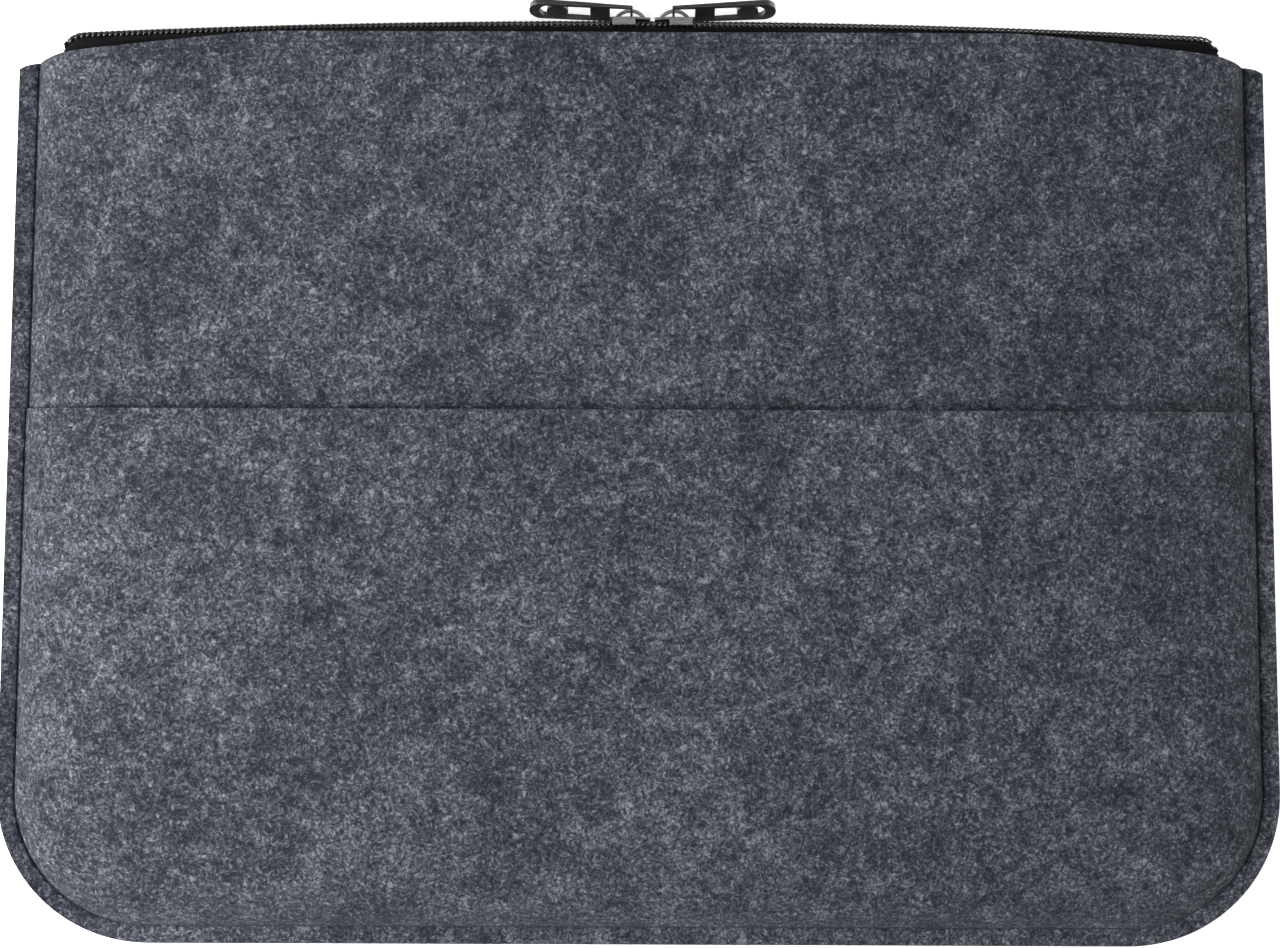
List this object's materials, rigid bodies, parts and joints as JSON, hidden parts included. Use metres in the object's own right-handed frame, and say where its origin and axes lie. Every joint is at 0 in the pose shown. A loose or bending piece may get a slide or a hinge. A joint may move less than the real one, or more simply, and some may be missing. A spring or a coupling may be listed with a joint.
{
  "type": "laptop sleeve",
  "caption": "Zip-top felt sleeve that holds a laptop flat, with a full-width outer pocket across its lower half and head-to-head zip sliders with metal pulls.",
  "frame": {"origin": "on the back panel's outer face, on the sleeve's middle line, 128.6 mm above the closed bottom edge", "axes": "+X along the zip to the wearer's right seen from the pocket side, +Y from the closed edge to the zip, +Z from the back panel to the pocket"},
  "size_m": [0.36, 0.2644, 0.0198],
  "materials": {
    "felt": "melange wool-look felt, raw cut edges",
    "zip_tape": "black woven polyester tape",
    "zip_coil": "black nylon monofilament coil",
    "coil_cord": "black twisted filler cord",
    "zip_thread": "black polyester sewing thread",
    "seam_thread": "dark grey polyester sewing thread",
    "slider_metal": "black nickel plated zinc, brushed",
    "pull_metal": "black nickel plated zinc, satin"
  },
  "bodies": {
    "sleeve": {"back_panel": "felt", "front_panel": "felt", "pocket_panel": "felt", "zip_tape_front": "zip_tape", "zip_coil_front": "zip_coil", "coil_core_cord_front": "coil_cord", "coil_stitching_front": "zip_thread", "zip_seam_front_needle_thread": "seam_thread", "zip_seam_front_bobbin_thread": "seam_thread", "zip_tape_back": "zip_tape", "zip_coil_back": "zip_coil", "coil_core_cord_back": "coil_cord", "coil_stitching_back": "zip_thread", "zip_seam_back_needle_thread": "seam_thread", "zip_seam_back_bobbin_thread": "seam_thread", "zip_end_tack_left": "zip_thread", "zip_end_tack_right": "zip_thread", "perimeter_seam_needle_thread": "seam_thread", "perimeter_seam_bobbin_thread": "seam_thread"},
    "slider_left": {"slider_body_left": "slider_metal"},
    "slider_right": {"slider_body_right": "slider_metal"},
    "pull_left": {"pull_tab_left": "pull_metal"},
    "pull_right": {"pull_tab_right": "pull_metal"}
  },
  "joints": [
    {"name": "slider_left_travel", "type": "hinge", "parent": "sleeve", "child": "slider_left", "pos_m": [0, -3.17255, 0], "axis": [0, 0, 1], "range_deg": [0, 2.55]},
    {"name": "pull_left_swing", "type": "hinge", "parent": "slider_left", "child": "pull_left", "pos_m": [-0.0028, 0.13127, 0.00696], "axis": [0.0004, -0.4226, -0.9063], "range_deg": [0, 95]},
    {"name": "slider_right_travel", "type": "hinge", "parent": "sleeve", "child": "slider_right", "pos_m": [0, -3.17255, 0], "axis": [0, 0, -1], "range_deg": [0, 2.44]},
    {"name": "pull_right_swing", "type": "hinge", "parent": "slider_right", "child": "pull_right", "pos_m": [0.00901, 0.13126, 0.00696], "axis": [0.0012, 0.4226, 0.9063], "range_deg": [0, 95]}
  ]
}
